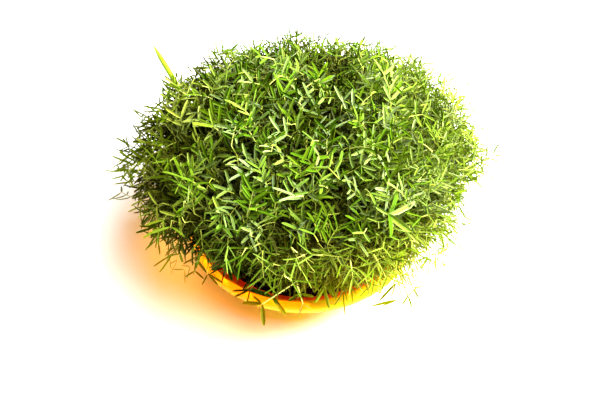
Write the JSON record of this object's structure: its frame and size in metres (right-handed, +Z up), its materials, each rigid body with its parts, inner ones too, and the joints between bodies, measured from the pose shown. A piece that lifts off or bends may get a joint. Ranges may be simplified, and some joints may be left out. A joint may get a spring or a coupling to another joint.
{
  "type": "microgreens tray",
  "caption": "Round shallow plastic dish of soil with a dense dome of lentil-type microgreens that fans out past the rolled rim.",
  "frame": {"origin": "middle of the dish's flat underside", "axes": "+Z up out of the dish; the front, which the picture looks at, is -Y"},
  "size_m": [0.246, 0.2429, 0.1408],
  "materials": {
    "dish_plastic": "glossy translucent moulded plastic",
    "damp_soil": "damp, crumbly",
    "leaf_green": "soft satin leaf",
    "grass_green": "satin grass blade"
  },
  "bodies": {
    "root": {"dish": "dish_plastic", "soil": "damp_soil", "grass_blade": "grass_green", "clump_01": "leaf_green", "clump_02": "leaf_green", "clump_03": "leaf_green", "clump_04": "leaf_green", "clump_05": "leaf_green", "clump_06": "leaf_green", "clump_07": "leaf_green", "clump_08": "leaf_green", "clump_09": "leaf_green", "clump_10": "leaf_green", "clump_11": "leaf_green", "clump_12": "leaf_green", "clump_13": "leaf_green", "clump_14": "leaf_green", "clump_15": "leaf_green", "clump_16": "leaf_green", "clump_17": "leaf_green", "clump_18": "leaf_green", "clump_19": "leaf_green"}
  },
  "joints": []
}
